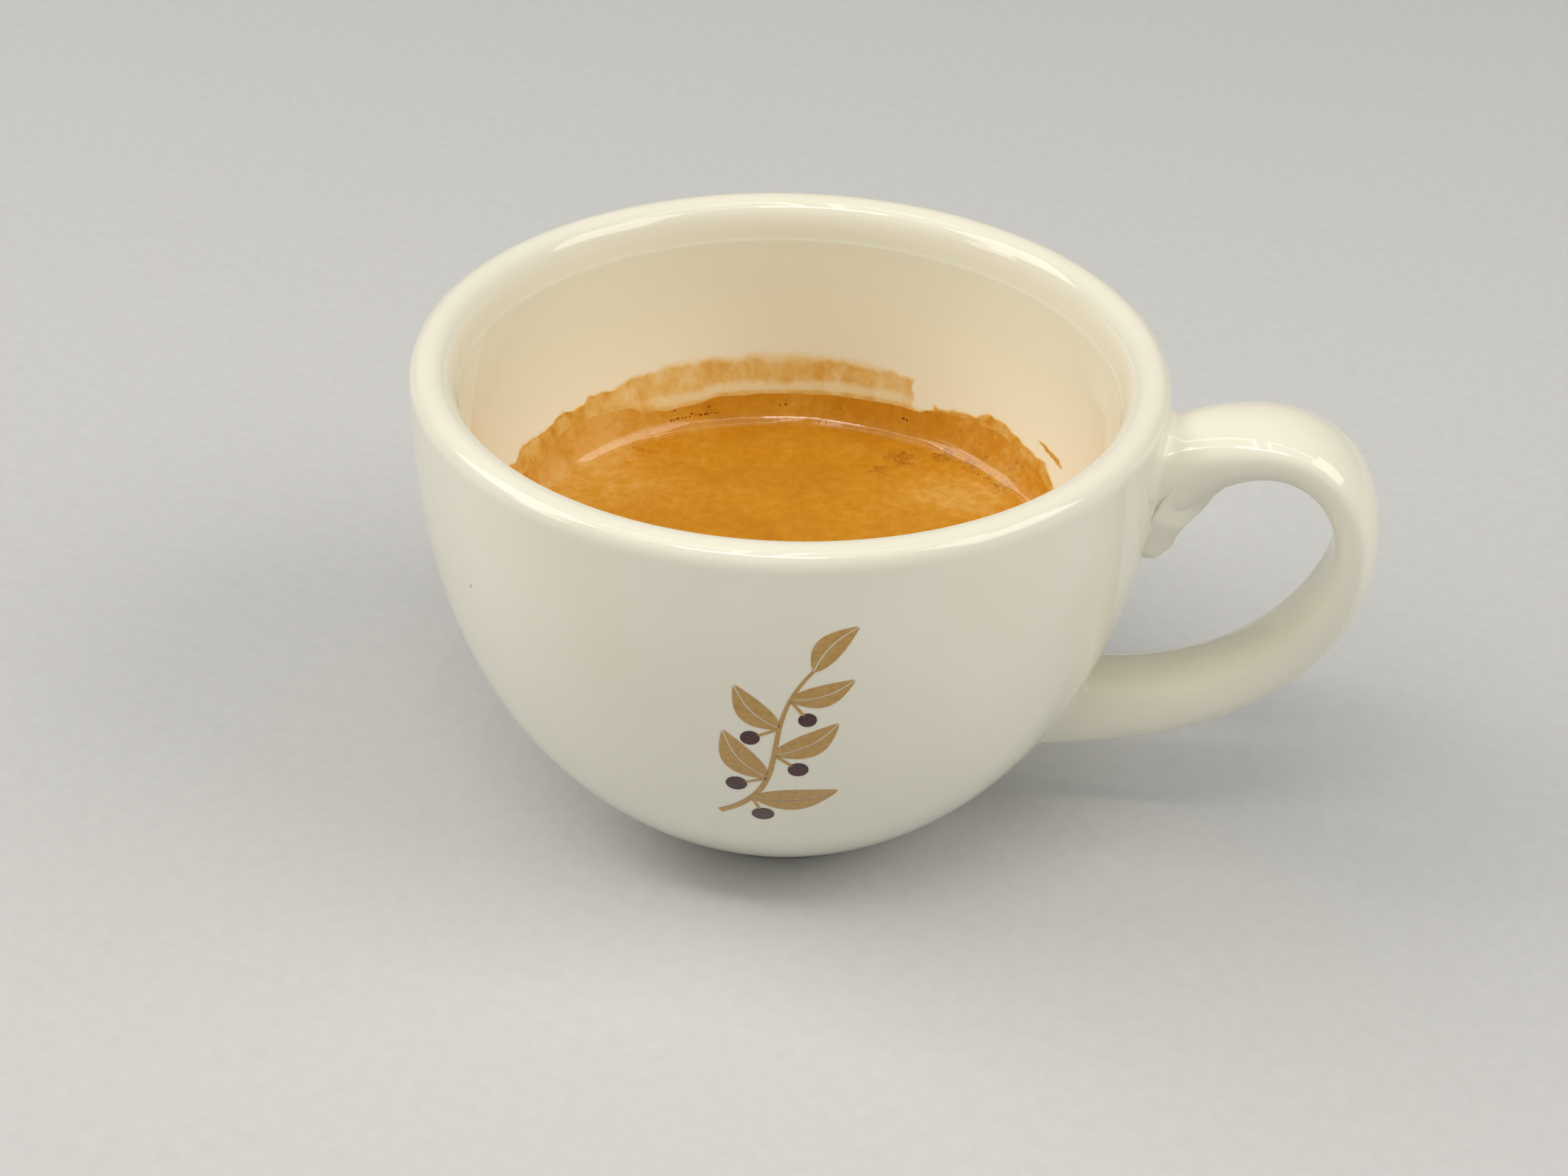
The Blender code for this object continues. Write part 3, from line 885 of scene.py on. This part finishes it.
def makeGrounds(drink):
    # One grain, modelled once, copied, turned and laid half sunk wherever a run says
    dice = random.Random(11)
    skin = BVHTree.FromObject(drink, bpy.context.evaluated_depsgraph_get())
    deselectAll()
    bpy.ops.mesh.primitive_ico_sphere_add(subdivisions=2, radius=0.5)
    coffeeGrain = bpy.context.object
    for vertex in coffeeGrain.data.vertices:
        vertex.co *= 1 + 0.3 * noise.noise(vertex.co * 2.1)
    copies = []
    for surface, start, end, count, stray, size in groundRuns:
        for i in range(count):
            t = (i + 0.5) / count
            azimuth = start[0] + (end[0] - start[0]) * t
            other = start[1] + (end[1] - start[1]) * t
            aside = (dice.gauss(0, stray / 2), dice.gauss(0, stray / 2))
            if surface == "crema":
                spot = aroundAxis(azimuth, other, 40) + Vector((aside[0] * mm, aside[1] * mm, 0))
                hit = skin.ray_cast(spot, Vector((0, 0, -1)))
            else:
                centre = Vector((axisX, 0, (other + aside[1]) * mm))
                turned = aroundAxis(azimuth + math.degrees(aside[0] / 27), 1.0, other + aside[1])
                hit = skin.ray_cast(centre, (turned - centre).normalized())
            length = size * dice.uniform(0.6, 1.25) * mm
            stretch = Matrix.Diagonal((length, length * dice.uniform(0.5, 0.9), length * 0.45, 1.0))
            turn = Matrix.Rotation(dice.uniform(0, 6.28), 4, "Z")
            lie = hit[1].to_track_quat("Z", "X").to_matrix().to_4x4()
            copy = coffeeGrain.copy()
            copy.data = coffeeGrain.data.copy()
            copy.data.transform(Matrix.Translation(hit[0] - hit[1] * 0.02 * mm) @ lie @ turn @ stretch)
            bpy.context.scene.collection.objects.link(copy)
            copies.append(copy)
    bpy.data.objects.remove(coffeeGrain, do_unlink=True)
    deselectAll()
    for copy in copies:
        copy.select_set(True)
    bpy.context.view_layer.objects.active = copies[0]
    bpy.ops.object.join()
    grounds = bpy.context.object
    grounds.name = "fine_coffee_grounds"
    bpy.ops.object.shade_smooth()
    # Ground coffee, soaked: dark roasted brown with a damp sheen
    material, onPiece = newMaterial("wet_coffee_grounds")
    spread = addNode(material, "ShaderNodeTexNoise", {"Scale": perMm(0.6)}, onPiece)
    tint = addNode(material, "ShaderNodeValToRGB", links={"Fac": (spread, "Fac")},
                   stops=((0.35, "8A4A12"), (0.65, "A9631A")))
    shader = addNode(material, "ShaderNodeBsdfPrincipled", {"Roughness": 0.7, "Specular IOR Level": 0.08},
                     {"Base Color": (tint, "Color")})
    addNode(material, "ShaderNodeOutputMaterial", links={"Surface": (shader, "BSDF")})
    grounds.data.materials.append(material)
    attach(grounds, "root")


# Fired-on decoration: a leafy sprig with berries, in mm on the wall's own surface, right and up from its
# middle. Leaves stand by turns left and right of the stem, each with a berry on a short stalk under it
sprigShape = {
    "azimuth": -79.0,
    "height": 28.0,
    "lift": 0.015,
    "thickness": 0.03,
    "stem": ((-4.6, -10.8), (2.4, -6.0), (-2.2, 1.0), (2.8, 7.2)),
    "stemWidth": 0.6,
    "leaves": 5,
    "firstLeaf": 0.17,
    "lastLeaf": 0.84,
    "leafTurn": 48,
    "leafLengths": (7.2, 5.4),
    "leafWidth": 0.4,
    "leafBow": 0.1,
    "vein": 0.075,
    "berryTurn": 126,
    "stalk": 2.0,
    "stalkWidth": 0.26,
    "berryRadii": (0.95, 0.75),
}


def onBelly(skin, right, up, lift):
    # A place on the cup's outside, from mm right and up of the sprig's middle
    height = sprigShape["height"] + up
    azimuth = sprigShape["azimuth"] + math.degrees(right / outerRadius(height))
    start = aroundAxis(azimuth, 40.0, height)
    inward = (Vector((axisX, 0, height * mm)) - start).normalized()
    hit = skin.ray_cast(start, inward)
    return hit[0] + hit[1] * lift * mm


def addPrintGrid(name, columns, rows, place):
    # A grid whose cells are laid out by a function of two values from 0 to 1
    deselectAll()
    bpy.ops.mesh.primitive_grid_add(x_subdivisions=columns, y_subdivisions=rows, size=1)
    patch = bpy.context.object
    patch.name = name
    for vertex in patch.data.vertices:
        vertex.co = place(vertex.co.x + 0.5, vertex.co.y + 0.5)
    return patch


def stemAt(t):
    # A place on the stem and its direction there
    ahead, behind = (Vector(bezier(sprigShape["stem"], t + step)) for step in (0.01, -0.01))
    return Vector(bezier(sprigShape["stem"], t)), (ahead - behind).normalized()


def makeSprig(cup):
    skin = BVHTree.FromObject(cup, bpy.context.evaluated_depsgraph_get())
    shape = sprigShape
    lift = shape["lift"] + shape["thickness"]
    gold, maroon = [], []

    def addLeaf(start, heading, length, bend):
        for side in (1, -1):  # two halves, with the vein left bare between them
            def leafPlace(t, across):
                bow = bend * shape["leafBow"] * length * math.sin(math.pi * t)
                half = length * shape["leafWidth"] / 2 * math.sin(math.pi * t ** 0.85) ** 0.9
                spot = Vector((length * t, bow + side * (shape["vein"] + half * across)))
                spot.rotate(Matrix.Rotation(heading, 2))
                return onBelly(skin, start.x + spot.x, start.y + spot.y, lift)
            gold.append(addPrintGrid("leaf", 18, 4, leafPlace))

    def addTwig(line, widths, steps):
        def twigPlace(t, across):
            spot, along = line(t)
            width = (widths[0] + (widths[1] - widths[0]) * t) * (across - 0.5)
            return onBelly(skin, spot.x - along.y * width, spot.y + along.x * width, lift)
        gold.append(addPrintGrid("twig", steps, 1, twigPlace))

    addTwig(stemAt, (shape["stemWidth"], 0.45 * shape["stemWidth"]), 60)
    for number in range(shape["leaves"]):
        part = number / (shape["leaves"] - 1)
        spot, along = stemAt(shape["firstLeaf"] + (shape["lastLeaf"] - shape["firstLeaf"]) * part)
        side = 1 if number % 2 else -1
        heading = math.atan2(along.y, along.x)
        length = shape["leafLengths"][0] + (shape["leafLengths"][1] - shape["leafLengths"][0]) * part
        addLeaf(spot, heading + side * math.radians(shape["leafTurn"]), length, side)
        radius = shape["berryRadii"][0] + (shape["berryRadii"][1] - shape["berryRadii"][0]) * part
        heading += side * math.radians(shape["berryTurn"])
        away = Vector((math.cos(heading), math.sin(heading)))
        addTwig(lambda part, spot=spot, away=away: (spot + away * shape["stalk"] * part, away),
                (shape["stalkWidth"], shape["stalkWidth"]), 6)
        middle = spot + away * (shape["stalk"] + 0.8 * radius)

        def berryPlace(t, across, middle=middle, radius=radius):
            turn = 2 * math.pi * t
            reach = radius * (0.02 + 0.98 * across)
            return onBelly(skin, middle.x + reach * math.cos(turn), middle.y + reach * math.sin(turn), lift)
        maroon.append(addPrintGrid("berry", 24, 3, berryPlace))
    tip, along = stemAt(1.0)
    addLeaf(tip, math.atan2(along.y, along.x), shape["leafLengths"][1], 1)
    # Overglaze gold-ochre enamel: screen printed, so a little uneven, and fired to a satin gloss
    ochre = makePrintInk("ochre_enamel", "B98F4A", "C49C58", 0.24)
    # Overglaze maroon enamel: very dark, with the same satin gloss
    dark = makePrintInk("maroon_enamel", "3A1518", "46201F", 0.22)
    for name, patches, ink in (("sprig_leaves", gold, ochre), ("sprig_berries", maroon, dark)):
        deselectAll()
        for patch in patches:
            patch.select_set(True)
        bpy.context.view_layer.objects.active = patches[0]
        bpy.ops.object.join()
        piece = bpy.context.object
        piece.name = name
        bpy.ops.object.mode_set(mode="EDIT")
        bpy.ops.mesh.select_all(action="SELECT")
        bpy.ops.mesh.remove_doubles(threshold=0.001 * mm)
        finishMesh()
        outward = piece.data.polygons[0]
        if outward.normal.dot(outward.center - Vector((axisX, 0, outward.center.z))) < 0:
            piece.data.flip_normals()
        applyModifier(piece, "SOLIDIFY", thickness=shape["thickness"] * mm, offset=-1)
        bpy.ops.object.shade_smooth_by_angle(angle=math.radians(40))
        piece.data.materials.append(ink)
        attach(piece, "root")


def makePrintInk(name, thin, full, roughness):
    material, onPiece = newMaterial(name)
    mesh = addNode(material, "ShaderNodeTexNoise", {"Scale": perMm(0.5), "Detail": 3.0}, onPiece)
    tint = addNode(material, "ShaderNodeValToRGB", links={"Fac": (mesh, "Fac")},
                   stops=((0.35, thin), (0.6, full)))
    grainy = addNode(material, "ShaderNodeBump", {"Distance": 0.003 * mm}, {"Height": (mesh, "Fac")})
    shader = addNode(material, "ShaderNodeBsdfPrincipled", {"Roughness": roughness, "IOR": 1.5},
                     {"Base Color": (tint, "Color"), "Normal": (grainy, "Normal")})
    addNode(material, "ShaderNodeOutputMaterial", links={"Surface": (shader, "BSDF")})
    return material


makeCamera()
makeFloor()
makeLights()
print("camera, floor and lights are in place")
cup, glaze = makeCup()
print("cup:", len(cup.data.polygons), "faces")
makeTongue(glaze)
drink = makeDrink()
print("crema:", len(drink.data.polygons), "faces")
film = makeFilm(cup)
print("dried film:", len(film.data.polygons), "faces")
makeGrounds(drink)
makeSprig(cup)
print("grounds and sprig are laid on")
